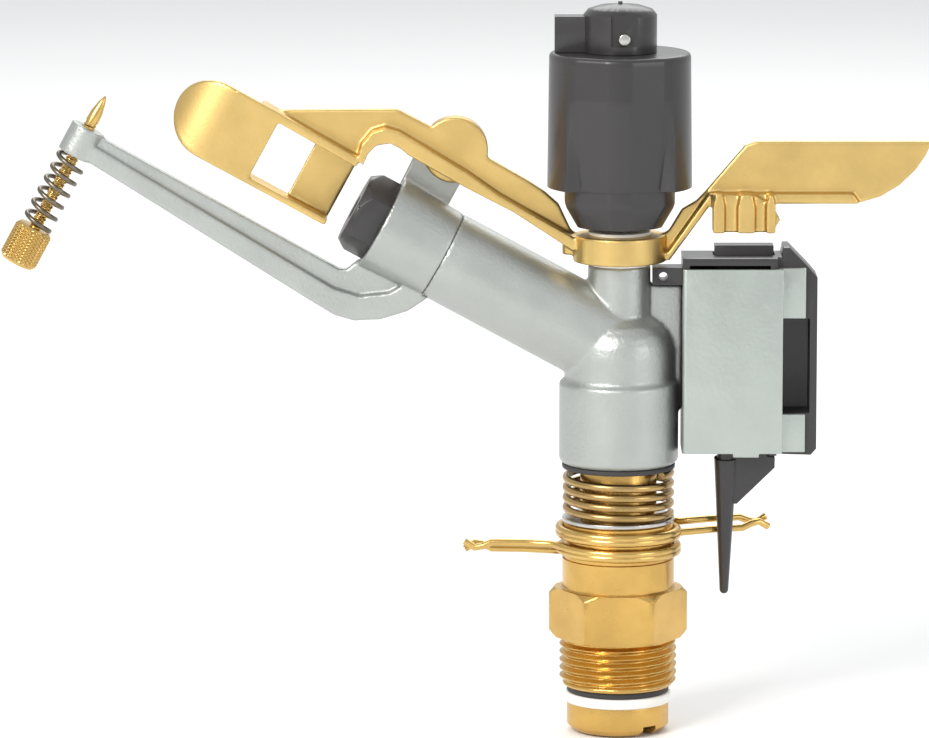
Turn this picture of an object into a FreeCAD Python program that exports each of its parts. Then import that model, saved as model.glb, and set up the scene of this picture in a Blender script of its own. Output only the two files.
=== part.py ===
"""Part-circle impact sprinkler, 3/4 inch male inlet, in millimetres.

The origin is on the spindle axis at the underside of the hexagon, where the
riser thread starts.  +Z is up, the nozzle points to -X and upwards, and the
reversing box is on the +X side.
"""
import FreeCAD, Part
import math
import os

os.makedirs("parts", exist_ok=True)

# ---- driving dimensions ----------------------------------------------------
thread_r = 13.22            # G 3/4 male thread, over the crests
thread_length = 11.0
hex_flats = 27.0
hex_height = 11.3
neck_r = 12.6               # round shoulder above the hexagon
neck_top = 18.2
collar_seat_r = 12.3        # the friction collars grip this
wire = 1.9                  # friction collar wire
collar_turns = 2
tab_reach = 35.0
right_tab_angle = 12.0      # the tab's place at rest, from +X
left_tab_angle = 180.0
running = 0.05              # radial running clearance
gap = 0.3                   # clearance between parts that only pass each other

spindle_r = 8.6
spindle_bore_r = 6.8
flange_r = 11.5
flange_height = 6.3
seal_thick = 1.4
wear_washer_thick = 2.3
wear_washer_r = 12.0

spring_wire = 1.7
bearing_spring_r = 12.7
barrel_bottom = 39.7
barrel_top = 58.5
barrel_r = 13.4
dome_r = 12.2
dome_top = 74.0
spindle_engagement = 12.0   # how far the spindle screws into the body

jet_angle = 28.5            # above the horizontal
jet_height = 65.4           # where the jet's axis meets the spindle axis
tube_r = 10.2
tube_bore_r = 6.8
spigot_r = 8.6
sleeve_start = 45.1         # distances along the jet's axis
sleeve_end = 60.5
sleeve_front_r = 10.85
nozzle_reach = 6.9
nozzle_hex_r = 9.5
nozzle_bore_r = 3.0

post_r = 7.0
pin_r = 2.5
pin_top = 141.0
hub_bottom = 85.5
hub_height = 6.0
hub_r = 10.4
hub_bush_wall = 1.5
thrust_washer_thick = 0.8

cap_bottom = 93.5
cone_top = 98.7
shell_bottom = 102.4
cap_top = 132.5
cap_r = 16.2
cap_skirt_r = 12.8
cap_wall = 1.8
knob_r = 8.2
knob_top = 143.3
knob_spigot_r = 5.0

box_left = 14.0
box_step = 35.2
box_right = 44.2
box_bottom = 42.9
box_top = 86.9
box_front = -6.8
box_back = 6.0
box_wall = 1.6
cover_thick = 1.2
trip_pivot_y = -3.5
trip_pivot_z = 50.0
trip_tilt = 8.5             # the lever leans this much at rest
trip_pin_x = 24.0
trip_pin_length = 40.4
lever_arm = 21.0            # trip lever's pivot to its cross pin
lever_swing = 17.0
lever_bend = 1.4            # the upper arm's lean at rest
cross_pin_r = 0.9
stop_lift = 4.5
stop_left = 21.3
stop_right = 34.5
stop_front = -0.4
stop_foot = 79.0
stop_top = 89.0

arm_web_front = 0.5
arm_web_back = 2.7
arm_rib_front = -4.0
vane_top = 112.4
vane_bottom = 98.7
vane_end = 69.6
lobe_depth = 2.5

boss_u = 128.0              # breaker screw: place along the jet, and heights
boss_low = -19.5
boss_high = -12.5
boss_r = 3.95
screw_r = 1.45
screw_tip = -4.5
screw_knob_r = 4.4
screw_knob_low = -47.0
screw_knob_high = -38.0

origin = FreeCAD.Vector(0, 0, 0)
x_axis = FreeCAD.Vector(1, 0, 0)
y_axis = FreeCAD.Vector(0, 1, 0)
z_axis = FreeCAD.Vector(0, 0, 1)

seal_top = -thread_length - 0.2
wear_washer_top = seal_top - seal_thick
flange_top = wear_washer_top - wear_washer_thick
spindle_bottom = flange_top - flange_height
collar_height = collar_turns * wire
collar_left_z = neck_top + 0.1
collar_right_z = collar_left_z + collar_height + gap
nipple_top = collar_right_z + collar_height + 0.2
hub_top = hub_bottom + hub_height
nozzle_tip = sleeve_end + nozzle_reach


# ---- small shape helpers ---------------------------------------------------
def rod(r, low, high, x=0.0, y=0.0):
    """An upright cylinder."""
    return Part.makeCylinder(r, high - low, FreeCAD.Vector(x, y, low))


def ring(r_out, r_in, low, high):
    """An upright tube on the spindle axis."""
    return rod(r_out, low, high).cut(rod(r_in, low - 1, high + 1))


def block(x0, x1, y0, y1, z0, z1):
    """A box from its low and high corners."""
    return Part.makeBox(x1 - x0, y1 - y0, z1 - z0, FreeCAD.Vector(x0, y0, z0))


def cross_rod(r, x0, x1, y, z):
    """A cylinder along X."""
    return Part.makeCylinder(r, x1 - x0, FreeCAD.Vector(x0, y, z), x_axis)


def deep_rod(r, x, y0, y1, z):
    """A cylinder along Y."""
    return Part.makeCylinder(r, y1 - y0, FreeCAD.Vector(x, y0, z), y_axis)


def turned(outline):
    """A solid of revolution about Z from (radius, height) points."""
    points = [FreeCAD.Vector(r, 0, z) for r, z in outline]
    points.append(points[0])
    return Part.Face(Part.makePolygon(points)).revolve(origin, z_axis, 360)


def upright_plate(outline, y0, y1):
    """A plate between two depths from (x, z) points."""
    points = [FreeCAD.Vector(x, y0, z) for x, z in outline]
    points.append(points[0])
    return Part.Face(Part.makePolygon(points)).extrude(FreeCAD.Vector(0, y1 - y0, 0))


def joined(shapes):
    """One clean solid from shapes that overlap."""
    whole = shapes[0].multiFuse(shapes[1:])
    return whole.removeSplitter()


def along_jet(shape):
    """Put a shape drawn with Z along the jet and X above it in its place."""
    shape = shape.copy()
    shape.rotate(origin, y_axis, jet_angle - 90)
    shape.translate(FreeCAD.Vector(0, 0, jet_height))
    return shape


def jet_plate(outline, y0, y1):
    """A plate from (distance along the jet, height above it) points."""
    return along_jet(upright_plate([(v, u) for u, v in outline], y0, y1))


def hexagon(flats, low, high):
    """An upright hexagonal bar with two faces square to Y."""
    corner = flats / math.sqrt(3)
    points = []
    for side in range(7):
        turn = math.radians(60 * side)
        points.append(FreeCAD.Vector(corner * math.cos(turn), corner * math.sin(turn), low))
    face = Part.Face(Part.makePolygon(points))
    return face.extrude(FreeCAD.Vector(0, 0, high - low))


def save(name, shape):
    """Write one piece."""
    shape.exportStep("parts/" + name + ".step")


# ---- the fixed bearing and its collars -------------------------------------
def bearing_nipple():
    """Riser thread, hexagon and the neck that the collars grip."""
    corner = hex_flats / math.sqrt(3)
    edge = 1.3
    chamfers = turned([
        (0, 0), (corner - edge, 0), (corner, edge), (corner, hex_height - edge),
        (corner - edge, hex_height), (0, hex_height)])
    nut = hexagon(hex_flats, 0, hex_height).common(chamfers)
    thread = rod(thread_r, -thread_length, 0.5)
    neck = rod(neck_r, hex_height - 0.5, neck_top)
    seat = rod(collar_seat_r, neck_top - 0.5, nipple_top)
    body = joined([nut, thread, neck, seat])
    return body.cut(rod(spindle_r + running, -thread_length - 1, nipple_top + 1))


def collar(low, angle, rise):
    """Friction collar: two turns of wire with both ends led out as a tab."""
    inner = collar_seat_r + running
    coil = ring(inner + wire, inner, low, low + collar_height)
    coil = coil.makeFillet(wire * 0.45, [e for e in coil.Edges if len(e.Vertexes) == 1])
    pieces = [coil]
    end_r = 0.8
    root = inner + wire * 0.5
    elbow = tab_reach - 5.5
    for side, height in ((-1, 0.25), (1, 0.75)):
        z0 = low + collar_height * height
        start = FreeCAD.Vector(root, side * 1.4, z0)
        bend = FreeCAD.Vector(elbow, side * 1.4, z0 + rise)
        tip = FreeCAD.Vector(tab_reach, side * 1.0, z0 + rise - side * 1.4)
        for a, b in ((start, bend), (bend, tip)):
            pieces.append(Part.makeCylinder(end_r, (b - a).Length, a, b - a))
        pieces.append(Part.makeSphere(end_r, bend))
        pieces.append(Part.makeSphere(end_r, tip))
    shape = joined(pieces)
    shape.rotate(origin, z_axis, angle)
    return shape


# ---- the turning spindle and its washers -----------------------------------
def spindle_tube():
    """Hollow spindle with a flange at its foot and two spanner slots."""
    top = barrel_bottom + spindle_engagement
    edge = 1.2
    shape = turned([
        (spindle_bore_r, spindle_bottom), (flange_r - edge, spindle_bottom),
        (flange_r, spindle_bottom + edge), (flange_r, flange_top),
        (spindle_r, flange_top), (spindle_r, top), (spindle_bore_r, top)])
    slot = block(-1.8, 1.8, -flange_r - 1, flange_r + 1, spindle_bottom - 1, spindle_bottom + 2.0)
    slot.rotate(origin, z_axis, 38)
    return shape.cut(slot)


def washer(r_out, top, thick):
    """A flat washer round the spindle."""
    return ring(r_out, spindle_r + running, top - thick, top)


def bearing_spring():
    """The space filled by the coils that push the body up."""
    low = nipple_top + 1.0
    high = barrel_bottom - 1.2
    return ring(bearing_spring_r, bearing_spring_r - spring_wire, low, high)


# ---- the body casting ------------------------------------------------------
def body_casting():
    """Barrel, dome, jet tube, post and the bracket for the reversing box."""
    corner = 9.0
    outline = [
        (0, barrel_bottom), (barrel_r - 1, barrel_bottom), (barrel_r, barrel_bottom + 1),
        (barrel_r, barrel_top - 0.5), (dome_r, barrel_top + 0.5)]
    for step in range(7):
        turn = math.radians(15 * step)
        outline.append((dome_r - corner + corner * math.cos(turn),
                        dome_top - corner + corner * math.sin(turn)))
    outline.append((0, dome_top))
    post_top = hub_bottom - thrust_washer_thick
    shapes = [
        turned(outline),
        rod(post_r, dome_top - 12, post_top),
        along_jet(rod(tube_r, 0, sleeve_start)),
        along_jet(rod(spigot_r, sleeve_start - 1, sleeve_end)),
        block(3, box_left, -1.5, 2.5, 52, 80.2),
        block(0, 31, box_back, box_back + 2.5, 57, 79.5)]
    whole = joined(shapes)
    whole = whole.cut(rod(spindle_r, barrel_bottom - 1, barrel_bottom + spindle_engagement))
    whole = whole.cut(rod(spindle_bore_r, barrel_bottom, jet_height))
    whole = whole.cut(along_jet(rod(tube_bore_r, 0, sleeve_end + 1)))
    whole = whole.cut(rod(pin_r, post_top - 10, post_top + 1))
    for x, z in screw_places():
        whole = whole.cut(deep_rod(1.2, x, box_back - 1, box_back + 4, z))
    return whole


def screw_places():
    """Where the two box screws pass through the bracket."""
    return [(20.0, 62.0), (28.0, 75.0)]


def box_screws():
    """Two pan-head screws, put in from behind."""
    screws = []
    head_y = box_back + 2.5
    for x, z in screw_places():
        shank = deep_rod(1.2, x, box_back - 1.2, head_y + 0.5, z)
        head = deep_rod(2.4, x, head_y, head_y + 1.8, z)
        head = head.cut(block(x - 3, x + 3, head_y + 1.0, head_y + 3, z - 0.35, z + 0.35))
        screws.append(joined([shank, head]))
    return Part.makeCompound(screws)


def stream_straightener():
    """Four vanes in a short ring, pushed into the jet tube."""
    low = 22.0
    high = 38.0
    vanes = block(-tube_bore_r + 0.3, tube_bore_r - 0.3, -0.4, 0.4, low, high)
    other = block(-0.4, 0.4, -tube_bore_r + 0.3, tube_bore_r - 0.3, low, high)
    return along_jet(joined([ring(tube_bore_r, tube_bore_r - 0.7, low, high), vanes, other]))


def nozzle():
    """Screwed-in jet with a hexagonal head."""
    edge = 1.6
    head = hexagon(nozzle_hex_r * math.sqrt(3), sleeve_end, nozzle_tip)
    head.rotate(origin, z_axis, 0)
    crown = turned([
        (0, sleeve_end), (nozzle_hex_r, sleeve_end), (nozzle_hex_r, nozzle_tip - edge - 0.8),
        (nozzle_hex_r - edge, nozzle_tip), (0, nozzle_tip)])
    shank = rod(tube_bore_r, sleeve_start, sleeve_end + 0.5)
    passage = turned([
        (0, sleeve_start - 1), (5.6, sleeve_start - 1), (5.6, sleeve_start + 3),
        (nozzle_bore_r, nozzle_tip - 5), (nozzle_bore_r, nozzle_tip + 1), (0, nozzle_tip + 1)])
    return along_jet(joined([head.common(crown), shank]).cut(passage))


# ---- the jet breaker -------------------------------------------------------
def jet_breaker_bracket():
    """Sleeve, stop lug, cranked arm and screw boss, cast in one."""
    sleeve = along_jet(turned([
        (spigot_r, sleeve_start), (tube_r, sleeve_start), (sleeve_front_r, sleeve_end),
        (spigot_r, sleeve_end)]))
    web = jet_plate([
        (boss_u - 1, boss_high - 0.5), (63.9, -13.7), (62.3, -13.0), (61.0, -9.8),
        (46.0, -9.0), (50.0, -13.0), (56.5, -17.5), (61.4, -19.0), (boss_u - 2, -16.5)], -1.5, 1.5)
    rib = jet_plate([
        (boss_u - 2, -15.2), (63.0, -18.0), (57.0, -16.8), (51.5, -13.0), (49.0, -9.0),
        (43.0, -9.0), (46.0, -14.6), (50.5, -19.2), (55.5, -22.2), (60.0, -23.2),
        (66.0, -22.9), (boss_u - 2, -18.9)], -3.4, 3.4)
    boss = along_jet(Part.makeCylinder(
        boss_r, boss_high - boss_low, FreeCAD.Vector(boss_low, 0, boss_u), x_axis))
    lug = jet_plate([(48.8, 6.0), (48.8, 20.5), (61.0, 20.5), (sleeve_end, 6.0)], 5.5, 8.5)
    whole = joined([sleeve, web, rib, boss, lug])
    hole = along_jet(Part.makeCylinder(
        screw_r + running, 12, FreeCAD.Vector(boss_low - 2, 0, boss_u), x_axis))
    tube = along_jet(rod(tube_r, 0, sleeve_start))
    spigot = along_jet(rod(spigot_r, sleeve_start, sleeve_end + 1))
    return whole.cut(tube).cut(spigot).cut(hole)


def breaker_screw():
    """Pointed screw with a knurled thumb knob."""
    point = screw_tip - 3.0
    outline = [
        (0, screw_knob_low), (screw_knob_r - 0.8, screw_knob_low),
        (screw_knob_r, screw_knob_low + 0.8), (screw_knob_r, screw_knob_high - 0.8),
        (screw_knob_r - 0.8, screw_knob_high), (screw_r, screw_knob_high),
        (screw_r, point), (0.25, screw_tip), (0, screw_tip)]
    shape = turned(outline)
    shape.rotate(origin, y_axis, 90)
    shape.translate(FreeCAD.Vector(0, 0, boss_u))
    return along_jet(shape)


def breaker_spring():
    """The space filled by the coils between boss and knob."""
    inner = screw_r + 0.75
    shape = ring(boss_r - 0.1, inner, screw_knob_high + 0.1, boss_low - 0.1)
    shape.rotate(origin, y_axis, 90)
    shape.translate(FreeCAD.Vector(0, 0, boss_u))
    return along_jet(shape)


# ---- the drive arm ---------------------------------------------------------
def spoon():
    """Channel with a slanted first vane, a window and a curved bucket."""
    start = 71.6
    centre = 104.7
    top = 11.2
    bottom = -6.3
    radius = (top - bottom) / 2
    middle = (top + bottom) / 2
    wall = 1.5
    plate_y = arm_rib_front
    window_u = 91.5
    front = jet_plate([(window_u, bottom), (window_u, top), (centre, top), (centre, bottom)],
                      plate_y, plate_y + wall)
    rounding = along_jet(Part.makeCylinder(
        radius, 14, FreeCAD.Vector(middle, plate_y, centre), y_axis))
    bend = 15.0
    bend_u = centre - 3.0
    outer = Part.makeCylinder(bend, 40, FreeCAD.Vector(-20, plate_y + bend, bend_u), x_axis)
    inner = Part.makeCylinder(bend - wall, 44, FreeCAD.Vector(-22, plate_y + bend, bend_u), x_axis)
    quarter = block(-20, 20, plate_y - 1, plate_y + bend, bend_u, bend_u + 20)
    bucket = along_jet(outer.cut(inner).common(quarter)).common(
        rounding.fuse(jet_plate([(bend_u, bottom), (bend_u, top), (centre, top), (centre, bottom)],
                                plate_y, plate_y + 14)))
    face = jet_plate([(window_u, bottom), (window_u, top), (bend_u, top), (bend_u, bottom)],
                     plate_y, plate_y + wall)
    upper = jet_plate([(start, 8.6), (start, 10.6), (window_u + 5, top), (window_u + 5, 9.2)],
                      plate_y, 4.2)
    lower = jet_plate([(start, bottom), (start, bottom + wall), (window_u + 5, bottom + wall),
                       (window_u + 5, bottom)], plate_y, 4.2)
    vane_outline = [(start, 2.7), (start, 4.2), (81.8, 2.4), (81.8, 0.9)]
    points = [FreeCAD.Vector(bottom, y, u) for u, y in vane_outline]
    points.append(points[0])
    vane = along_jet(Part.Face(Part.makePolygon(points)).extrude(
        FreeCAD.Vector(10.6 - bottom, 0, 0)))
    keep = jet_plate([(60, bottom), (60, 10.7), (window_u, 10.7), (window_u, bottom)], -10, 10)
    return [face, bucket, upper, lower, vane.common(keep)]


def drive_arm():
    """Brass casting: spoon, web, rib, hub, striker and tail vane."""
    web = upright_plate([
        (-75.5, 119.3), (-49.6, 119.5), (-41.0, 115.0), (-28.9, 108.3), (-20.4, 103.4),
        (-16.9, 101.1), (-13.6, 98.2), (-10.9, 92.5), (-9.0, 90.9), (-9.0, 87.5), (-11.3, 90.0),
        (-23.7, 97.4), (-34.1, 102.8), (-46.9, 110.1), (-48.9, 111.7), (-51.2, 112.9),
        (-54.3, 112.4), (-56.1, 110.6), (-57.3, 107.9), (-59.5, 108.9)],
        arm_web_front, arm_web_back)
    rib = upright_plate([
        (-10.4, 88.2), (-23.7, 96.9), (-34.1, 102.3), (-46.9, 109.6), (-48.9, 111.2),
        (-51.2, 112.4), (-54.3, 111.9), (-56.1, 110.1), (-57.3, 107.4), (-58.4, 109.0),
        (-57.6, 112.0), (-55.2, 114.9), (-52.3, 115.8), (-49.2, 114.9), (-43.1, 111.3),
        (-34.1, 105.8), (-27.1, 100.8), (-20.4, 96.9), (-9.0, 90.4)], arm_rib_front, arm_web_back)
    lobe = deep_rod(7.4, -36.8, arm_web_front, arm_web_back + lobe_depth, 110.3)
    tail = upright_plate([
        (8.0, 86.0), (11.2, 86.0), (20.4, vane_bottom), (53.7, vane_bottom), (58.2, 100.0),
        (62.5, 102.6), (66.0, 106.0), (68.3, 109.3), (vane_end, vane_top), (30.4, vane_top),
        (28.0, 111.6), (19.2, 101.3), (17.2, 99.2), (13.9, 97.2), (11.0, 92.4), (8.0, 91.0)],
        -1.0, 1.0)
    tail_rib = upright_plate([
        (9.2, 86.0), (11.2, 86.0), (20.4, vane_bottom), (53.7, vane_bottom), (52.0, 101.0),
        (20.0, 101.0), (10.6, 87.6), (9.2, 87.6)], -3.2, 1.0)
    hub = rod(hub_r, hub_bottom, hub_top)
    dimple = rod(1.8, hub_bottom + 1.5, hub_top - 0.8, x=-11.0)
    whole = joined([web, rib, lobe, tail, tail_rib, hub, dimple] + striker() + spoon())
    return whole.cut(rod(pin_r + running + hub_bush_wall, hub_bottom - 1, hub_top + 1))


def striker():
    """Ribbed block under the tail that the raised stop catches."""
    pieces = [upright_plate([
        (20.6, 92.6), (34.0, 92.6), (35.7, 95.4), (34.0, 98.5), (30.0, 101.0), (20.6, 101.0)],
        -5.2, -0.8)]
    for x0, x1 in ((20.6, 23.3), (26.2, 30.0), (32.5, 34.6)):
        pieces.append(upright_plate([
            (x0, 92.6), (x1, 92.6), (x1, 98.6), (x1 - 0.6, 101.2), (x0 + 0.6, 101.2),
            (x0, 98.6)], -7.0, -0.8))
    return pieces


def hub_bush():
    """Plastic bush between the arm and its pin."""
    return ring(pin_r + running + hub_bush_wall, pin_r + running, hub_bottom, hub_top)


# ---- spring cap ------------------------------------------------------------
def fulcrum_pin():
    """Steel pin that carries the arm and the cap."""
    low = hub_bottom - thrust_washer_thick - 10
    return rod(pin_r, low, pin_top)


def arm_washer(low, r_out):
    """Low-friction washer on the fulcrum pin."""
    return ring(r_out, pin_r + running, low, low + thrust_washer_thick)


def arm_spring():
    """The space filled by the torsion spring's coils."""
    return ring(7.0, 5.4, hub_top + thrust_washer_thick + 0.2, cap_top - 5.5)


def cap_shell():
    """Spring cap: a tapered, faceted core inside a shell cut open in front."""
    core = turned([
        (0, cap_bottom), (9.9, cap_bottom), (cap_skirt_r, cone_top), (cap_skirt_r + 0.4, shell_bottom),
        (cap_r - 0.3, 121.0), (cap_r - 0.3, cap_top), (0, cap_top)])
    shell = turned([
        (cap_skirt_r - 1, shell_bottom), (cap_r, shell_bottom), (cap_r - 0.4, cap_top - 1),
        (cap_r - 1.4, cap_top), (cap_skirt_r - 1, cap_top)])
    half_width = 11.5
    front = block(-half_width, half_width, -20, -4, shell_bottom - 1, 121.0)
    inside = turned([
        (0, cap_bottom - 1), (8.0, cap_bottom - 1), (cap_skirt_r - cap_wall, cone_top),
        (cap_skirt_r - cap_wall, cap_top - 3.5), (0, cap_top - 3.5)])
    whole = joined([core, shell.cut(front)])
    return whole.cut(inside).cut(rod(knob_spigot_r + running, cap_top - 5, cap_top + 1))


def cap_knob():
    """Knob pinned to the fulcrum pin, which holds the cap down."""
    low = cap_top + 0.1
    outline = [
        (0, cap_top - 4.0), (knob_spigot_r, cap_top - 4.0), (knob_spigot_r, low), (knob_r, low),
        (knob_r, knob_top - 2.4), (knob_r - 1.0, knob_top - 1.2), (knob_r - 3.4, knob_top - 0.4),
        (0, knob_top)]
    finger = block(-14.6, -6, -2.2, 2.6, low, low + 8.0)
    nub = rod(0.5, knob_top - 0.6, knob_top + 0.5)
    whole = joined([turned(outline), finger, nub])
    flat = block(-2.2, 8.0, -12, -7.3, low + 1.8, knob_top - 1.6)
    whole = whole.cut(flat).cut(rod(pin_r, cap_top - 6, pin_top))
    return whole.cut(deep_rod(0.8, 0.8, -12, 0, low + 3.4))


def knob_screw():
    """Small screw that pins the knob."""
    z = cap_top + 3.5
    return joined([deep_rod(0.8, 0.8, -7.4, -pin_r - 0.3, z), deep_rod(1.3, 0.8, -8.2, -7.3, z)])


# ---- the reversing box -----------------------------------------------------
def box_housing():
    """Black moulding, open below and in front, that holds the mechanism."""
    body = upright_plate([
        (box_left, box_bottom), (43.0, box_bottom - 0.8), (box_right, box_bottom + 0.6),
        (box_right, 82.3), (42.0, 84.8), (37.9, 89.0), (36.6, 89.0), (36.2, box_top),
        (box_left, box_top)], box_front, box_back)
    step = block(box_step, 50, box_front - 1, -4.3, 30, 95)
    main = block(box_left + box_wall, box_step - box_wall, box_front - 1, box_back - box_wall,
                 box_bottom - 2, box_top - box_wall)
    window = block(box_step + 1.0, box_right - box_wall, -6, box_back - box_wall, 51.6, 73.0)
    mouth = block(stop_left - gap, stop_right + gap, stop_front - gap, box_back - box_wall,
                  stop_foot - gap, box_top + 3)
    ear = block(7.4, box_left + 0.5, -3.0, 3.0, 80.4, hub_bottom - 1.2)
    eye = deep_rod(1.0, 9.8, -5, 5, 82.3)
    body = joined([body.cut(step).cut(main).cut(window).cut(mouth), ear.cut(eye)])
    body = body.cut(cross_rod(1.25, box_left - 1, box_step + 0.5, trip_pivot_y, trip_pivot_z))
    peg = deep_rod(1.2, 31.0, trip_pivot_y - 1.5, box_back - box_wall + 0.5, 75.5)
    body = joined([body, peg])
    for x, z in screw_places():
        body = body.cut(deep_rod(1.2, x, box_back - 1.2, box_back + 1, z))
    return body.cut(rod(post_r + gap, 60, 90))


def box_cover():
    """Silver front plate with a return and two tabs on its right."""
    top = 84.6
    plate = block(box_left, box_step, box_front - cover_thick, box_front, box_bottom, top)
    corner = [e for e in plate.Edges if abs(e.CenterOfMass.x - box_left) < 0.01
              and abs(e.CenterOfMass.y - box_front + cover_thick) < 0.01]
    plate = plate.makeFillet(cover_thick * 0.8, corner)
    side = block(box_step, box_step + cover_thick, box_front - cover_thick, -4.3, box_bottom, top)
    pieces = [plate, side]
    for low, high in ((box_bottom, 51.5), (73.2, top)):
        pieces.append(block(box_step, 41.6, -4.3 - cover_thick, -4.3, low, high))
    pieces.append(block(25.4, 31.2, box_front - cover_thick, box_front, box_bottom - 0.8,
                        box_bottom + 1))
    return joined(pieces)


def trip_lever():
    """Lever with the tapered trip pin below and a cross pin above."""
    z = trip_pivot_z
    taper = Part.makeCone(1.0, 2.6, trip_pin_length - 9, FreeCAD.Vector(
        trip_pin_x, trip_pivot_y, z - trip_pin_length))
    tip = Part.makeSphere(1.0, FreeCAD.Vector(trip_pin_x, trip_pivot_y, z - trip_pin_length))
    neck = rod(1.9, z - 9.1, z, x=trip_pin_x, y=trip_pivot_y)
    web = upright_plate([
        (trip_pin_x, z), (33.2, z), (33.2, z - 8.4), (35.0, z - 8.8), (35.0, z - 11),
        (26.6, z - 19.6), (trip_pin_x, z - 19.6)], trip_pivot_y - 1.1, trip_pivot_y + 1.1)
    barrel = cross_rod(2.6, box_left + box_wall + gap, box_step - box_wall - gap, trip_pivot_y, z)
    half = cross_pin_r
    tongue = block(22.3, 25.3, trip_pivot_y - half, trip_pivot_y + half, z, z + lever_arm + half)
    cross_pin = cross_rod(cross_pin_r, 19.4, 22.8, trip_pivot_y, z + lever_arm)
    upper = joined([tongue, cross_pin])
    centre = FreeCAD.Vector(0, trip_pivot_y, z)
    upper.rotate(centre, x_axis, -(trip_tilt + lever_bend))
    whole = joined([taper, tip, neck, web, barrel, upper])
    whole.rotate(centre, x_axis, trip_tilt)
    return whole.cut(cross_rod(1.25 + running, 0, 50, trip_pivot_y, z))


def trip_pivot_pin():
    """Steel pin through the box for the trip lever."""
    return cross_rod(1.25, box_left, box_step, trip_pivot_y, trip_pivot_z)


def cross_pin_place(swing):
    """Where the trip lever's cross pin is after it swings."""
    lean = math.radians(lever_bend + swing)
    return FreeCAD.Vector(0, trip_pivot_y + lever_arm * math.sin(lean),
                          trip_pivot_z + lever_arm * math.cos(lean))


def reversing_stop():
    """Block that the trip lever lifts into the striker's path."""
    back = box_back - box_wall - gap
    head = block(stop_left, stop_right, stop_front, back, stop_foot, stop_top)
    stem = block(19.6, stop_left + 0.6, 0.2, back, 72.0, stop_foot + 1.5)
    cam = block(19.6, stop_left + 0.3, -4.9, back, 62.0, 78.0)
    first = cross_pin_place(0)
    last = cross_pin_place(lever_swing) - FreeCAD.Vector(0, 0, stop_lift)
    run = last - first
    room = 2 * cross_pin_r
    width = cross_pin_r + 0.4
    slot = block(18, 23, -room, run.Length + room, -width, width)
    slot.rotate(origin, x_axis, math.degrees(math.atan2(run.z, run.y)))
    slot.translate(first)
    return joined([head, stem, cam.cut(slot)])


def toggle_spring():
    """The space filled by the small over-centre spring."""
    low = trip_pivot_z + 2.6 + gap
    tube = rod(1.7, low, 74.0, x=31.0, y=trip_pivot_y)
    return tube.cut(rod(1.1, low - 1, 75.0, x=31.0, y=trip_pivot_y))


# ---- write every piece -----------------------------------------------------
save("bearing_nipple", bearing_nipple())
save("trip_collar_left", collar(collar_left_z, left_tab_angle, 0.6))
save("trip_collar_right", collar(collar_right_z, right_tab_angle, 0.8))
save("spindle_tube", spindle_tube())
save("seal_washer", washer(flange_r, seal_top, seal_thick))
save("wear_washer", washer(wear_washer_r, wear_washer_top, wear_washer_thick))
save("neck_washer", washer(bearing_spring_r, nipple_top + 1.0, 0.9))
save("bearing_spring", bearing_spring())
save("spring_seat_washer", washer(bearing_spring_r, barrel_bottom, 1.1))
save("body_casting", body_casting())
save("stream_straightener", stream_straightener())
save("nozzle", nozzle())
save("jet_breaker_bracket", jet_breaker_bracket())
save("breaker_screw", breaker_screw())
save("breaker_spring", breaker_spring())
save("fulcrum_pin", fulcrum_pin())
save("arm_washer_lower", arm_washer(hub_bottom - thrust_washer_thick, post_r))
save("arm_washer_upper", arm_washer(hub_top, post_r))
save("drive_arm", drive_arm())
save("hub_bush", hub_bush())
save("arm_spring", arm_spring())
save("cap_shell", cap_shell())
save("cap_knob", cap_knob())
save("knob_screw", knob_screw())
save("box_housing", box_housing())
save("box_cover", box_cover())
save("box_screws", box_screws())
save("trip_lever", trip_lever())
save("trip_pivot_pin", trip_pivot_pin())
save("reversing_stop", reversing_stop())
save("toggle_spring", toggle_spring())
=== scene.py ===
import bmesh
import bpy
import math
from mathutils import Matrix, Vector


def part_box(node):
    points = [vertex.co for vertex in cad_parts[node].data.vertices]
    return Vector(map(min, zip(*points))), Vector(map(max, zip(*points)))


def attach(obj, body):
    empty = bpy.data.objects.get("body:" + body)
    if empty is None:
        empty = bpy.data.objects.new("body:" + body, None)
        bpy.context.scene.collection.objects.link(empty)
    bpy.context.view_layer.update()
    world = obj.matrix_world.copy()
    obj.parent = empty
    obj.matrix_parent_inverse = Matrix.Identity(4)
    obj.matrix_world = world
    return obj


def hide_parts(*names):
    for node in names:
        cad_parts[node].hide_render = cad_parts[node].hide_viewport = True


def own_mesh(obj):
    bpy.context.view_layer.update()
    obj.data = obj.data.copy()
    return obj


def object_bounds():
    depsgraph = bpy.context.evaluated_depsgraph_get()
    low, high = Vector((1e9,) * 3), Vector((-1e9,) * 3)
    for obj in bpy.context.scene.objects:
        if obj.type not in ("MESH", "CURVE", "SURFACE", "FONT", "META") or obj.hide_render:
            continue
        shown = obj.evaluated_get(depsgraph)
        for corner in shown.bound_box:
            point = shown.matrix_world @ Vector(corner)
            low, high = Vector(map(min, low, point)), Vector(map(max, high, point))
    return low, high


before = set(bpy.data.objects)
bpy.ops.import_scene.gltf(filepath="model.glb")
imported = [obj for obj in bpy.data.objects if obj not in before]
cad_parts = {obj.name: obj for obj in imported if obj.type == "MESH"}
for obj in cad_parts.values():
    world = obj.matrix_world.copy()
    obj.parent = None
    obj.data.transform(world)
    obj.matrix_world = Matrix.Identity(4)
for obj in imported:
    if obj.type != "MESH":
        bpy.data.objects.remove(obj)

cad_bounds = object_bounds()
mm = 0.001

# ---------------------------------------------------------------- bearing nipple
# The brass nipple screws into the riser.  It is turned from hexagon bar: a
# 14-to-the-inch thread below, a 27 mm hexagon, and a plain neck above it.


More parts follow.
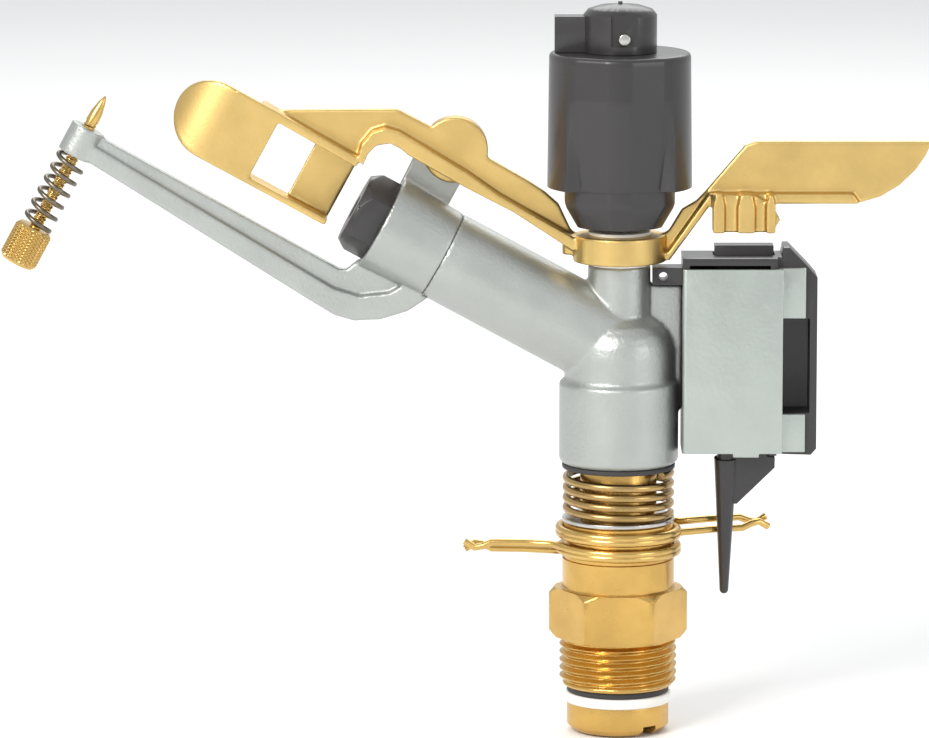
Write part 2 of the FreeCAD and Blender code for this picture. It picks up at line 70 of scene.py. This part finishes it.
def metal_finish(name, colour, roughness, grain):
    """Bare metal: rubbed bright in places, duller and darker in others."""
    material = bpy.data.materials.new(name)
    material.use_nodes = True
    nodes = material.node_tree.nodes
    links = material.node_tree.links
    shader = nodes["Principled BSDF"]
    shader.inputs["Metallic"].default_value = 1.0
    place = nodes.new("ShaderNodeTexCoord")
    cloud = nodes.new("ShaderNodeTexNoise")
    cloud.inputs["Scale"].default_value = 90.0
    cloud.inputs["Detail"].default_value = 5.0
    tint = nodes.new("ShaderNodeValToRGB")
    tint.color_ramp.elements[0].position = 0.3
    tint.color_ramp.elements[0].color = [c * 0.80 for c in colour] + [1]
    tint.color_ramp.elements[1].position = 0.68
    tint.color_ramp.elements[1].color = list(colour) + [1]
    dull = nodes.new("ShaderNodeMapRange")
    dull.inputs["To Min"].default_value = roughness + 0.10
    dull.inputs["To Max"].default_value = roughness - 0.04
    fine = nodes.new("ShaderNodeTexNoise")
    fine.inputs["Scale"].default_value = grain
    fine.inputs["Detail"].default_value = 3.0
    bump = nodes.new("ShaderNodeBump")
    bump.inputs["Strength"].default_value = 0.12
    bump.inputs["Distance"].default_value = 0.0002
    links.new(place.outputs["Object"], cloud.inputs["Vector"])
    links.new(place.outputs["Object"], fine.inputs["Vector"])
    links.new(cloud.outputs["Fac"], tint.inputs["Fac"])
    links.new(cloud.outputs["Fac"], dull.inputs["Value"])
    links.new(tint.outputs["Color"], shader.inputs["Base Color"])
    links.new(dull.outputs["Result"], shader.inputs["Roughness"])
    links.new(fine.outputs["Fac"], bump.inputs["Height"])
    links.new(bump.outputs["Normal"], shader.inputs["Normal"])
    return material


def turned_piece(name, rings, sides, bored, material):
    """A lathe shape from (height, radius) rings; a radius may be a function of angle and height."""
    shape = bmesh.new()
    rows = []
    for z, radius in rings:
        row = []
        for step in range(sides):
            angle = 2 * math.pi * step / sides
            r = radius(angle, z) if callable(radius) else radius
            row.append(shape.verts.new((r * math.cos(angle), r * math.sin(angle), z)))
        rows.append(row)
    pairs = list(zip(rows, rows[1:]))
    if bored:
        pairs.append((rows[-1], rows[0]))
    for low, high in pairs:
        for step in range(sides):
            after = (step + 1) % sides
            shape.faces.new((low[step], low[after], high[after], high[step]))
    if not bored:
        shape.faces.new(list(reversed(rows[0])))
        shape.faces.new(rows[-1])
    bmesh.ops.recalc_face_normals(shape, faces=shape.faces)
    mesh = bpy.data.meshes.new(name)
    shape.to_mesh(mesh)
    shape.free()
    return finished_mesh(name, mesh, material)


def finished_mesh(name, mesh, material, sharp=32):
    """Put a mesh in the scene, smooth but for its real edges."""
    mesh.materials.clear()
    mesh.materials.append(material)
    mesh.polygons.foreach_set("use_smooth", [True] * len(mesh.polygons))
    mesh.set_sharp_from_angle(angle=math.radians(sharp))
    piece = bpy.data.objects.new(name, mesh)
    bpy.context.collection.objects.link(piece)
    return piece


def screw_thread(crest, depth, pitch, low, high):
    """Radius of a thread that fades out at both ends."""
    def radius(angle, z):
        turn = (z / pitch - angle / (2 * math.pi)) % 1.0
        ridge = abs(2 * turn - 1)
        ridge = min(max((ridge - 0.12) / 0.76, 0), 1)
        fade = min(1.0, (z - low) / (0.8 * pitch) + 0.15, (high - z) / (0.8 * pitch) + 0.15)
        return crest - depth * (ridge if fade >= 1 else 1 - (1 - ridge) * max(fade, 0))
    return radius


def hexagon_bar(flats, low, high, edge):
    """Radius of a hexagon whose ends are turned off at the corners."""
    corner = flats / math.sqrt(3)

    def radius(angle, z):
        face = (angle % (math.pi / 3)) - math.pi / 6
        from_end = min(z - low, high - z)
        turned_off = corner - edge + min(from_end, edge)
        return min(flats / 2 / math.cos(face), turned_off)
    return radius


brass = metal_finish("lathe_turned_brass", (0.70, 0.44, 0.13), 0.24, 2600.0)
low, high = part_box("bearing_nipple")
thread_r = 13.22 * mm
thread_foot = low.z
pitch = 1.814 * mm
hex_top = 11.3 * mm
neck_r = 12.6 * mm
collar_seat_r = 12.3 * mm
neck_top = 18.2 * mm
bore_r = 8.66 * mm
thread = screw_thread(thread_r, 1.05 * mm, pitch, thread_foot, 0.0)
hexagon = hexagon_bar(27.0 * mm, 0.0, hex_top, 1.3 * mm)
rings = [(thread_foot, thread_r - 1.3 * mm)]
rows = 96
for row in range(rows + 1):
    rings.append((thread_foot + (0.0 - thread_foot) * row / rows * 0.985, thread))
rings.append((-0.05 * mm, thread_r - 1.1 * mm))
rings += [(0.0, thread_r - 0.9 * mm), (0.0, hexagon)]
for row in range(1, 7):
    rings.append((1.3 * mm * row / 6, hexagon))
for row in range(7):
    rings.append((hex_top - 1.3 * mm * (6 - row) / 6, hexagon))
rings += [
    (hex_top, neck_r + 0.3 * mm), (hex_top + 0.3 * mm, neck_r), (neck_top - 0.2 * mm, neck_r),
    (neck_top, neck_r - 0.2 * mm), (neck_top, collar_seat_r), (high.z - 0.3 * mm, collar_seat_r),
    (high.z, collar_seat_r - 0.3 * mm), (high.z, bore_r), (thread_foot, bore_r)]
nipple = turned_piece("bearing_nipple_turned", rings, 144, True, brass)
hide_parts("bearing_nipple")
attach(nipple, "bearing")

# ---------------------------------------------------------------- friction collars
# Each collar is one length of hard brass wire wound twice round the neck.  Its
# two ends run out side by side and are bent into leaf-shaped finger grips.


def wire_collar(name, node, tab_angle, body, material):
    """Wind one collar's wire on its seat and lead its ends out."""
    wire_r = 0.93 * mm
    ring_r = collar_seat_r + 0.05 * mm + wire_r + 0.02 * mm
    reach = 35.0 * mm
    start_z = {"collar_left": 18.3 * mm, "collar_right": 22.4 * mm}[body]
    turns = 1.92
    side = 1.4 * mm

    def leg(sign, z, outward):
        """One straight end with its leaf-shaped tip."""
        path = []
        root = math.sqrt(ring_r ** 2 - side ** 2)
        path.append((root + 1.5 * mm, sign * side, z))
        path.append((root + 8 * mm, sign * side, z + 0.35 * mm))
        path.append((reach - 6.5 * mm, sign * side, z + 0.45 * mm))
        path.append((reach - 4.5 * mm, sign * (side + 0.15 * mm), z + 0.5 * mm - sign * 0.9 * mm))
        path.append((reach - 2.6 * mm, sign * side, z + 0.5 * mm - sign * 1.25 * mm))
        path.append((reach - 0.4 * mm, sign * (side - 0.5 * mm), z + 0.5 * mm + sign * 0.1 * mm))
        return path if outward else list(reversed(path))

    z_low = start_z + wire_r
    z_high = start_z + 3 * wire_r + 0.06 * mm
    points = leg(-1, z_low, False)
    steps = 72
    first = -math.asin(side / ring_r)
    for step in range(steps + 1):
        angle = first + (2 * math.pi * turns - 0.02) * (-1) * step / steps
        points.append((ring_r * math.cos(angle), ring_r * math.sin(angle),
                       z_low + (z_high - z_low) * step / steps))
    points += leg(1, z_high, True)
    curve = bpy.data.curves.new(name, "CURVE")
    curve.dimensions = "3D"
    curve.bevel_depth = wire_r
    curve.bevel_resolution = 5
    curve.use_fill_caps = True
    strand = curve.splines.new("POLY")
    strand.points.add(len(points) - 1)
    for point, place in zip(strand.points, points):
        point.co = (*place, 1)
    for index in range(6):
        strand.points[index].radius = 0.86
        strand.points[-1 - index].radius = 0.86
    wound = bpy.data.objects.new(name + "_curve", curve)
    mesh = bpy.data.meshes.new_from_object(wound)
    bpy.data.objects.remove(wound)
    mesh.transform(Matrix.Rotation(math.radians(tab_angle), 4, "Z"))
    piece = finished_mesh(name, mesh, material, 60)
    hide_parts(node)
    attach(piece, body)


wire_brass = metal_finish("drawn_brass_wire", (0.72, 0.48, 0.16), 0.22, 1800.0)
wire_collar("trip_collar_left_wire", "trip_collar_left", 180.0, "collar_left", wire_brass)
wire_collar("trip_collar_right_wire", "trip_collar_right", 12.0, "collar_right", wire_brass)

# ---------------------------------------------------------------- spindle and washers
# The hollow brass spindle hangs in the nipple.  A dark seal and a white wear
# washer lie between the nipple and the spindle's flanged foot.


def plain_finish(name, colour, roughness, grain, strength, coat=0.0):
    """Moulded plastic or rubber with a fine grain and faint unevenness."""
    material = bpy.data.materials.new(name)
    material.use_nodes = True
    nodes = material.node_tree.nodes
    links = material.node_tree.links
    shader = nodes["Principled BSDF"]
    shader.inputs["Coat Weight"].default_value = coat
    place = nodes.new("ShaderNodeTexCoord")
    cloud = nodes.new("ShaderNodeTexNoise")
    cloud.inputs["Scale"].default_value = 60.0
    cloud.inputs["Detail"].default_value = 4.0
    tint = nodes.new("ShaderNodeValToRGB")
    tint.color_ramp.elements[0].color = [c * 0.82 for c in colour] + [1]
    tint.color_ramp.elements[1].color = [min(c * 1.12, 1) for c in colour] + [1]
    dull = nodes.new("ShaderNodeMapRange")
    dull.inputs["To Min"].default_value = roughness - 0.05
    dull.inputs["To Max"].default_value = roughness + 0.08
    fine = nodes.new("ShaderNodeTexNoise")
    fine.inputs["Scale"].default_value = grain
    bump = nodes.new("ShaderNodeBump")
    bump.inputs["Strength"].default_value = strength
    bump.inputs["Distance"].default_value = 0.0002
    links.new(place.outputs["Object"], cloud.inputs["Vector"])
    links.new(place.outputs["Object"], fine.inputs["Vector"])
    links.new(cloud.outputs["Fac"], tint.inputs["Fac"])
    links.new(cloud.outputs["Fac"], dull.inputs["Value"])
    links.new(tint.outputs["Color"], shader.inputs["Base Color"])
    links.new(dull.outputs["Result"], shader.inputs["Roughness"])
    links.new(fine.outputs["Fac"], bump.inputs["Height"])
    links.new(bump.outputs["Normal"], shader.inputs["Normal"])
    return material


def eased_copy(node, name, material, width, body):
    """A copy of a CAD piece with its hard edges rounded over."""
    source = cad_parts[node]
    shape = bmesh.new()
    shape.from_mesh(source.data)
    bmesh.ops.transform(shape, matrix=source.matrix_world, verts=shape.verts)
    bmesh.ops.remove_doubles(shape, verts=shape.verts, dist=0.004 * mm)
    bmesh.ops.dissolve_limit(shape, angle_limit=math.radians(0.6), verts=shape.verts,
                             edges=shape.edges)
    mesh = bpy.data.meshes.new(name)
    shape.to_mesh(mesh)
    shape.free()
    rough = bpy.data.objects.new(name + "_rough", mesh)
    bpy.context.collection.objects.link(rough)
    rounding = rough.modifiers.new("rounded edges", "BEVEL")
    rounding.width = width * mm
    rounding.segments = 3
    rounding.limit_method = "ANGLE"
    rounding.angle_limit = math.radians(35)
    rounding.harden_normals = False
    bpy.context.view_layer.update()
    seen = rough.evaluated_get(bpy.context.evaluated_depsgraph_get())
    result = bpy.data.meshes.new_from_object(seen)
    bpy.data.objects.remove(rough)
    piece = finished_mesh(name, result, material, 28)
    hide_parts(node)
    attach(piece, body)
    return piece


white_plastic = plain_finish("white_washer_plastic", (0.86, 0.85, 0.80), 0.45, 900.0, 0.08)
seal_rubber = plain_finish("seal_rubber", (0.035, 0.033, 0.032), 0.62, 1600.0, 0.15)
steel = metal_finish("bright_steel", (0.60, 0.59, 0.57), 0.24, 2200.0)
spring_brass = metal_finish("brass_spring_wire", (0.50, 0.34, 0.14), 0.24, 2200.0)
eased_copy("spindle_tube", "spindle_turned", brass, 0.3, "rotor")
eased_copy("seal_washer", "seal_washer_rubber", seal_rubber, 0.3, "rotor")
eased_copy("wear_washer", "wear_washer_white", white_plastic, 0.5, "rotor")
eased_copy("neck_washer", "neck_washer_steel", steel, 0.2, "rotor")
eased_copy("spring_seat_washer", "spring_seat_dark", seal_rubber, 0.3, "rotor")
eased_copy("arm_washer_lower", "arm_washer_low", white_plastic, 0.2, "rotor")
eased_copy("arm_washer_upper", "arm_washer_high", white_plastic, 0.2, "rotor")

# ---------------------------------------------------------------- coil springs
# Four springs: the bearing spring under the body, the arm's torsion spring in
# the cap, the breaker screw's spring and the small over-centre spring.


def coil_tree():
    """Geometry nodes that wind a round wire into an open coil."""
    tree = bpy.data.node_groups.new("wound_coil", "GeometryNodeTree")
    sizes = ("Turns", "Coil Radius", "Height", "Wire Radius")
    for size in sizes:
        tree.interface.new_socket(name=size, in_out="INPUT", socket_type="NodeSocketFloat")
    tree.interface.new_socket(name="Finish", in_out="INPUT", socket_type="NodeSocketMaterial")
    tree.interface.new_socket(name="Coil", in_out="OUTPUT", socket_type="NodeSocketGeometry")
    given = tree.nodes.new("NodeGroupInput")
    made = tree.nodes.new("NodeGroupOutput")
    path = tree.nodes.new("GeometryNodeCurveSpiral")
    path.inputs["Resolution"].default_value = 40
    wire = tree.nodes.new("GeometryNodeCurvePrimitiveCircle")
    wire.inputs["Resolution"].default_value = 12
    sweep = tree.nodes.new("GeometryNodeCurveToMesh")
    sweep.inputs["Fill Caps"].default_value = True
    smooth = tree.nodes.new("GeometryNodeSetShadeSmooth")
    real = tree.nodes.new("GeometryNodeRealizeInstances")
    dress = tree.nodes.new("GeometryNodeSetMaterial")
    join = tree.links.new
    join(given.outputs["Turns"], path.inputs["Rotations"])
    join(given.outputs["Coil Radius"], path.inputs["Start Radius"])
    join(given.outputs["Coil Radius"], path.inputs["End Radius"])
    join(given.outputs["Height"], path.inputs["Height"])
    join(given.outputs["Wire Radius"], wire.inputs["Radius"])
    join(path.outputs["Curve"], sweep.inputs["Curve"])
    join(wire.outputs["Curve"], sweep.inputs["Profile Curve"])
    join(sweep.outputs["Mesh"], smooth.inputs["Geometry"])
    join(smooth.outputs["Geometry"], real.inputs["Geometry"])
    join(real.outputs["Geometry"], dress.inputs["Geometry"])
    join(given.outputs["Finish"], dress.inputs["Material"])
    join(dress.outputs["Geometry"], made.inputs["Coil"])
    return tree


coil = coil_tree()


def wound_spring(name, node, turns, coil_r, wire_r, height, place, material, body="rotor"):
    """Wind one spring, then lay it in its place."""
    blank = bpy.data.objects.new(name + "_coil", bpy.data.meshes.new(name + "_coil"))
    bpy.context.collection.objects.link(blank)
    winder = blank.modifiers.new("wound coil", "NODES")
    winder.node_group = coil
    values = {"Turns": turns, "Coil Radius": coil_r * mm, "Wire Radius": wire_r * mm,
              "Height": (height - 2 * wire_r) * mm, "Finish": material}
    for socket in coil.interface.items_tree:
        if socket.in_out == "INPUT":
            winder[socket.identifier] = values[socket.name]
    bpy.context.view_layer.update()
    seen = blank.evaluated_get(bpy.context.evaluated_depsgraph_get())
    mesh = bpy.data.meshes.new_from_object(seen)
    bpy.data.objects.remove(blank)
    mesh.transform(place @ Matrix.Translation((0, 0, wire_r * mm)))
    piece = bpy.data.objects.new(name, mesh)
    bpy.context.collection.objects.link(piece)
    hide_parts(node)
    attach(piece, body)
    return piece


jet_angle = math.radians(28.5)
jet_height = 65.4 * mm
along_jet = Matrix.Translation((0, 0, jet_height)) @ Matrix.Rotation(
    jet_angle - math.pi / 2, 4, "Y")
# The breaker screw stands across the jet: its own Z is the jet frame's upward X.
screw_along_jet = 128.0 * mm
screw_place = along_jet @ Matrix.Translation((0, 0, screw_along_jet)) @ Matrix.Rotation(
    math.pi / 2, 4, "Y")

low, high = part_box("bearing_spring")
wound_spring("bearing_spring_wire", "bearing_spring", 4.1, 11.75, 0.88, (high.z - low.z) / mm,
             Matrix.Translation((0, 0, low.z)), spring_brass)
low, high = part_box("arm_spring")
wound_spring("arm_spring_wire", "arm_spring", 11.0, 6.2, 0.75, (high.z - low.z) / mm,
             Matrix.Translation((0, 0, low.z)), spring_brass)
low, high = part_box("toggle_spring")
wound_spring("toggle_spring_wire", "toggle_spring", 14.0, 1.35, 0.3, (high.z - low.z) / mm,
             Matrix.Translation(((low.x + high.x) / 2, (low.y + high.y) / 2, low.z)), steel)
dark_wire = metal_finish("dark_spring_wire", (0.20, 0.17, 0.13), 0.30, 2200.0)
breaker_low = -37.9 * mm
breaker_high = -19.6 * mm
breaker_coil = wound_spring("breaker_spring_wire", "breaker_spring", 5.7, 3.2, 0.55,
                            (breaker_high - breaker_low) / mm,
                            screw_place @ Matrix.Translation((0, 0, breaker_low)), dark_wire)
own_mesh(breaker_coil)

# ---------------------------------------------------------------- body casting
# The body is a light-alloy casting: barrel, dome, jet tube, post and the plate
# that carries the box.  Its corners run into each other in soft fillets.


def cast_finish(name, colour, roughness, grain, pitted):
    """Tumbled light-alloy casting with a fine rough skin."""
    material = bpy.data.materials.new(name)
    material.use_nodes = True
    nodes = material.node_tree.nodes
    links = material.node_tree.links
    shader = nodes["Principled BSDF"]
    shader.inputs["Metallic"].default_value = 0.82
    place = nodes.new("ShaderNodeTexCoord")
    cloud = nodes.new("ShaderNodeTexNoise")
    cloud.inputs["Scale"].default_value = 120.0
    cloud.inputs["Detail"].default_value = 6.0
    tint = nodes.new("ShaderNodeValToRGB")
    tint.color_ramp.elements[0].position = 0.35
    tint.color_ramp.elements[0].color = [c * 0.94 for c in colour] + [1]
    tint.color_ramp.elements[1].position = 0.65
    tint.color_ramp.elements[1].color = list(colour) + [1]
    dull = nodes.new("ShaderNodeMapRange")
    dull.inputs["To Min"].default_value = roughness - 0.06
    dull.inputs["To Max"].default_value = roughness + 0.1
    skin = nodes.new("ShaderNodeTexNoise")
    skin.inputs["Scale"].default_value = grain
    skin.inputs["Detail"].default_value = 4.0
    pits = nodes.new("ShaderNodeTexVoronoi")
    pits.inputs["Scale"].default_value = grain * 0.6
    both = nodes.new("ShaderNodeMath")
    both.operation = "MULTIPLY_ADD"
    both.inputs[1].default_value = pitted
    bump = nodes.new("ShaderNodeBump")
    bump.inputs["Strength"].default_value = 0.30
    bump.inputs["Distance"].default_value = 0.0003
    links.new(place.outputs["Object"], cloud.inputs["Vector"])
    links.new(place.outputs["Object"], skin.inputs["Vector"])
    links.new(place.outputs["Object"], pits.inputs["Vector"])
    links.new(cloud.outputs["Fac"], tint.inputs["Fac"])
    links.new(cloud.outputs["Fac"], dull.inputs["Value"])
    links.new(pits.outputs["Distance"], both.inputs[0])
    links.new(skin.outputs["Fac"], both.inputs[2])
    links.new(tint.outputs["Color"], shader.inputs["Base Color"])
    links.new(dull.outputs["Result"], shader.inputs["Roughness"])
    links.new(both.outputs["Value"], bump.inputs["Height"])
    links.new(bump.outputs["Normal"], shader.inputs["Normal"])
    return material


def cast_copy(node, name, material, grain, passes, body):
    """A copy of a CAD piece with its corners flowing together, as a mould leaves them."""
    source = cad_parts[node]
    shape = bmesh.new()
    shape.from_mesh(source.data)
    bmesh.ops.transform(shape, matrix=source.matrix_world, verts=shape.verts)
    bmesh.ops.remove_doubles(shape, verts=shape.verts, dist=0.004 * mm)
    mesh = bpy.data.meshes.new(name)
    shape.to_mesh(mesh)
    shape.free()
    rough = bpy.data.objects.new(name + "_rough", mesh)
    bpy.context.collection.objects.link(rough)
    fill = rough.modifiers.new("even skin", "REMESH")
    fill.mode = "VOXEL"
    fill.voxel_size = grain * mm
    fill.adaptivity = 0
    ease = rough.modifiers.new("soft corners", "SMOOTH")
    ease.factor = 0.5
    ease.iterations = passes
    bpy.context.view_layer.update()
    seen = rough.evaluated_get(bpy.context.evaluated_depsgraph_get())
    result = bpy.data.meshes.new_from_object(seen)
    bpy.data.objects.remove(rough)
    piece = finished_mesh(name, result, material, 75)
    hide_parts(node)
    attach(piece, body)
    return piece


cast_metal = cast_finish("cast_light_alloy", (0.44, 0.46, 0.44), 0.40, 1500.0, 0.35)
cast_copy("body_casting", "body_cast", cast_metal, 0.42, 3, "rotor")
cast_copy("jet_breaker_bracket", "breaker_bracket_cast", cast_metal, 0.40, 2,
          "rotor")
eased_copy("stream_straightener", "straightener_vanes", white_plastic, 0.1,
           "rotor")

# ---------------------------------------------------------------- nozzle
# The nozzle is moulded in black plastic.  Its six-sided head takes a spanner and
# its mouth is rounded; the shank screws into the jet tube.
black_plastic = plain_finish("black_moulded_plastic", (0.028, 0.026, 0.027), 0.32, 1100.0, 0.10,
                             0.15)
eased_copy("nozzle", "nozzle_moulded", black_plastic, 0.7, "rotor")

# ---------------------------------------------------------------- breaker screw
# A pointed brass screw breaks up the jet.  It is turned in one piece with its
# knob, which is cross-knurled for the fingers.


def knurled_barrel(low, high, radius, depth):
    """Radius of a knob cut with crossing grooves."""
    def at(angle, z):
        lead = 2 * math.pi * (z - low) / (9.0 * mm)
        one = abs(math.sin(12 * (angle + lead * 0.5)))
        other = abs(math.sin(12 * (angle - lead * 0.5)))
        edge = min(z - low, high - z) / (0.9 * mm)
        chamfer = 0.8 * mm * max(0.0, 1 - edge)
        return radius - chamfer - depth * (1 - min(one, other)) * min(max(edge, 0), 1)
    return at


rod_r = 1.45 * mm
knob_low = -47.0 * mm
knob_high = -38.0 * mm
tip = -4.5 * mm
knurl = knurled_barrel(knob_low, knob_high, 4.4 * mm, 0.42 * mm)
cone_foot = tip - 6.6 * mm
fine_thread = screw_thread(rod_r, 0.22 * mm, 0.8 * mm, knob_high, cone_foot)
rings = [(knob_low, 0.6 * mm), (knob_low + 0.01 * mm, 3.2 * mm)]
for row in range(61):
    rings.append((knob_low + (knob_high - knob_low) * row / 60, knurl))
rings += [(knob_high, rod_r + 0.2 * mm)]
rows = 230
for row in range(rows + 1):
    rings.append((knob_high + (cone_foot - knob_high) * row / rows, fine_thread))
rings += [
    (cone_foot + 0.1 * mm, rod_r), (tip - 4.2 * mm, rod_r * 0.95), (tip - 1.6 * mm, rod_r * 0.55),
    (tip - 0.2 * mm, 0.25 * mm), (tip, 0.08 * mm)]
screw = turned_piece("breaker_screw_turned", rings, 96, False, wire_brass)
screw.data.transform(screw_place)
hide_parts("breaker_screw")
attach(screw, "screw")

# ---------------------------------------------------------------- drive arm
# The arm is one brass casting, tumbled bright: spoon, rib, hub, striker and tail.
# A plastic bush in its hub turns on the fulcrum pin.
arm_brass = metal_finish("tumbled_cast_brass", (0.72, 0.51, 0.19), 0.36, 1500.0)
cast_copy("drive_arm", "drive_arm_cast", arm_brass, 0.36, 2, "arm")
eased_copy("hub_bush", "hub_bush_plastic", white_plastic, 0.15, "arm")
eased_copy("fulcrum_pin", "fulcrum_pin_ground", steel, 0.3, "rotor")

# ---------------------------------------------------------------- spring cap and knob
# The cap is black plastic and covers the arm's spring.  In front the outer skin
# is cut away and the core tapers in wide flats; a knob on the pin holds it down.


def cap_outside(low, high, shell_low):
    """Radius of the cap: round behind, drawn in with flats at the front."""
    foot_r = 9.9
    core_r = 12.9

    def at(angle, z):
        turn = math.degrees(angle) - 270.0
        turn = (turn + 180) % 360 - 180
        if z < shell_low:
            share = (z - low) / (shell_low - low)
            core = foot_r + (core_r - foot_r) * min(1.0, share * 1.75)
            facet = (turn % 60) - 30
            flat = core * math.cos(math.radians(30)) / math.cos(math.radians(facet))
            return max(min(core, flat * 1.10), 9.0) * mm
        round_r = 16.2 - 0.4 * (z - shell_low) / (high - shell_low)
        if abs(turn) > 47:
            return round_r * mm
        share = min(1.0, (z - shell_low) / (20.0 * mm))
        core = 13.1 + (round_r - 13.1) * share ** 0.9
        facet = 22.0 if turn > 0 else -26.0
        flat = core * 0.97 / math.cos(math.radians(turn - facet))
        edge = max(0.0, (abs(turn) - 43) / 4)
        front = min(core, flat)
        return (front + (round_r - front) * edge) * mm
    return at


low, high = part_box("cap_shell")
shell_low = 102.4 * mm
rim = 1.0 * mm
recess = 3.5 * mm
hole_r = 5.1 * mm
outside = cap_outside(low.z, high.z, shell_low)
rings = [(low.z, 9.0 * mm)]
for row in range(9):
    rings.append((low.z + (shell_low - low.z) * row / 8 * 0.999, outside))
for row in range(33):
    rings.append((shell_low + (high.z - rim - shell_low) * row / 32, outside))
for row in range(1, 5):
    turn = math.radians(22.5 * row)
    rings.append((high.z - rim + rim * math.sin(turn),
                  lambda angle, z, cut=1 - math.cos(turn): outside(angle, high.z - rim)
                  - rim * cut))
rings += [
    (high.z, hole_r), (high.z - recess, hole_r), (high.z - recess, 11.0 * mm),
    (98.7 * mm, 11.0 * mm), (low.z, 8.2 * mm)]
cap = turned_piece("spring_cap_moulded", rings, 180, True, black_plastic)
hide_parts("cap_shell")
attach(cap, "cap")
eased_copy("cap_knob", "cap_knob_moulded", black_plastic, 0.45, "rotor")
eased_copy("knob_screw", "knob_screw_turned", steel, 0.2, "rotor")

# ---------------------------------------------------------------- reversing box
# The box is a black moulding open at the front, closed by a silver-painted
# pressed cover.  Two screws hold it to the body's plate from behind.
painted_cover = cast_finish("silver_painted_cover", (0.46, 0.50, 0.47), 0.36, 900.0, 0.05)
eased_copy("box_housing", "box_moulded", black_plastic, 0.35, "rotor")
eased_copy("box_cover", "box_cover_pressed", painted_cover, 0.35, "rotor")
eased_copy("box_screws", "box_screws_turned", steel, 0.2, "rotor")

# ---------------------------------------------------------------- trip mechanism
# The black trip lever hangs on a steel pin and is knocked over by the collars'
# tabs.  Its upper arm lifts the stop block into the striker's way.
eased_copy("trip_lever", "trip_lever_moulded", black_plastic, 0.3, "trip_lever")
eased_copy("trip_pivot_pin", "trip_pivot_ground", steel, 0.15, "rotor")
eased_copy("reversing_stop", "stop_block_moulded", black_plastic, 0.35, "stop")

# ---------------------------------------------------------------- floor, lights, camera
# A pale floor under the sprinkler, three soft boxes and a long lens.
reach = 14.0
level = cad_bounds[0][2] - 0.5 * mm
floor_mesh = bpy.data.meshes.new("floor")
floor_mesh.from_pydata([(-reach, -reach, level), (reach, -reach, level), (reach, reach, level),
                        (-reach, reach, level)], [], [(0, 1, 2, 3)])
floor_finish = bpy.data.materials.new("pale_floor")
floor_finish.use_nodes = True
floor_shader = floor_finish.node_tree.nodes["Principled BSDF"]
floor_shader.inputs["Base Color"].default_value = (0.90, 0.90, 0.90, 1)
floor_shader.inputs["Roughness"].default_value = 0.9
floor_mesh.materials.append(floor_finish)
floor = bpy.data.objects.new("floor", floor_mesh)
bpy.context.collection.objects.link(floor)

middle = Vector((-34.65 * mm, 0, 60.9 * mm))


def soft_box(name, place, width, power, colour):
    """A square area light turned to the sprinkler."""
    lamp = bpy.data.lights.new(name, "AREA")
    lamp.shape = "RECTANGLE"
    lamp.size = width
    lamp.size_y = width
    lamp.energy = power
    lamp.color = colour
    box = bpy.data.objects.new(name, lamp)
    box.location = place
    box.rotation_euler = (middle - Vector(place)).to_track_quat("-Z", "Y").to_euler()
    bpy.context.collection.objects.link(box)


soft_box("key_light", (-0.62, -0.85, 0.75), 0.55, 12.0, (1.0, 0.98, 0.95))
soft_box("fill_light", (0.9, -0.7, 0.35), 0.5, 2.0, (0.97, 0.98, 1.0))
soft_box("back_light", (0.1, 0.9, 0.9), 0.9, 6.0, (1.0, 1.0, 1.0))

world = bpy.data.worlds.new("studio")
world.use_nodes = True
world.node_tree.nodes["Background"].inputs["Color"].default_value = (0.98, 0.99, 1.0, 1)
world.node_tree.nodes["Background"].inputs["Strength"].default_value = 0.75
bpy.context.scene.world = world
bpy.context.scene.view_settings.view_transform = "Standard"

distance = 1.45
elevation = math.radians(9.5)
view_width = 0.2085
lens = bpy.data.cameras.new("camera")
lens.sensor_width = 36.0
lens.lens = lens.sensor_width * distance / view_width
lens.clip_end = 50.0
camera = bpy.data.objects.new("camera", lens)
camera.location = middle + Vector((0, -math.cos(elevation), math.sin(elevation))) * distance
camera.rotation_euler = (middle - camera.location).to_track_quat("-Z", "Y").to_euler()
bpy.context.collection.objects.link(camera)
bpy.context.scene.camera = camera
